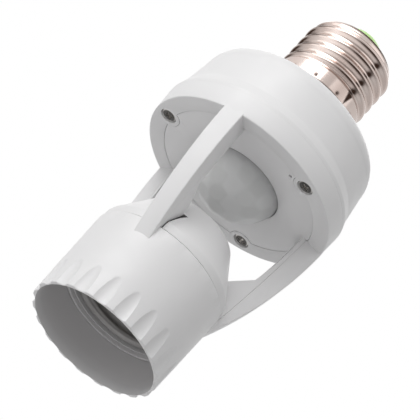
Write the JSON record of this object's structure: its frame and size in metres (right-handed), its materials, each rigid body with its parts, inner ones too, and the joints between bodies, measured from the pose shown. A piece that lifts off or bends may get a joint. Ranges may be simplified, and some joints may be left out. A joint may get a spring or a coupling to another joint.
{
  "type": "motion sensor lamp holder",
  "caption": "Screw-in lamp holder: screw cap, round sensor housing with a half-dome lens, and a fluted socket hung below it on slim legs.",
  "frame": {"origin": "centre of the socket's mouth, in the plane of its rim", "axes": "+Z along the lamp's axis towards the screw cap; -Y through one of the legs, which stand a third of a turn apart"},
  "size_m": [0.058, 0.0578, 0.1196],
  "materials": {
    "white_plastic": "fine satin",
    "grey_plastic": "satin",
    "milky_plastic": "milky, faceted",
    "green_plastic": "gloss",
    "nickel_sheet": "polished nickel plating",
    "steel": "bright",
    "brass": "polished",
    "board_green": "lacquered",
    "dark_component": "satin",
    "relay_blue": "gloss",
    "ochre_component": "gloss",
    "red_insulation": "satin",
    "blue_insulation": "satin"
  },
  "bodies": {
    "holder": {"cage_body": "white_plastic", "inner_cage": "white_plastic", "upper_housing": "white_plastic", "cap_shell": "nickel_sheet", "cap_insulator": "green_plastic", "cap_contact": "steel", "sensor_lens": "milky_plastic", "lens_retainer": "grey_plastic", "sensor_can": "steel", "light_sensor": "dark_component", "circuit_board": "board_green", "relay": "relay_blue", "film_capacitor": "ochre_component", "control_chip": "dark_component", "electrolytic_capacitor": "dark_component", "power_resistor": "ochre_component", "rectifier_diode": "dark_component", "housing_screw_1": "steel", "housing_screw_2": "steel", "housing_screw_3": "steel", "socket_shell": "nickel_sheet", "socket_base": "grey_plastic", "socket_screw_1": "steel", "socket_screw_2": "steel", "contact_leaf": "brass", "leaf_rivet": "brass", "cap_live_wire": "red_insulation", "cap_neutral_wire": "blue_insulation", "lamp_live_wire": "red_insulation", "lamp_neutral_wire": "blue_insulation"},
    "contact": {"contact_button": "brass"}
  },
  "joints": [
    {"name": "contact_travel", "type": "slide", "parent": "holder", "child": "contact", "axis": [0, 0, 1], "range_m": [0, 0.0015], "stiffness_N_per_m": 400, "deforming": ["contact_leaf"]}
  ]
}
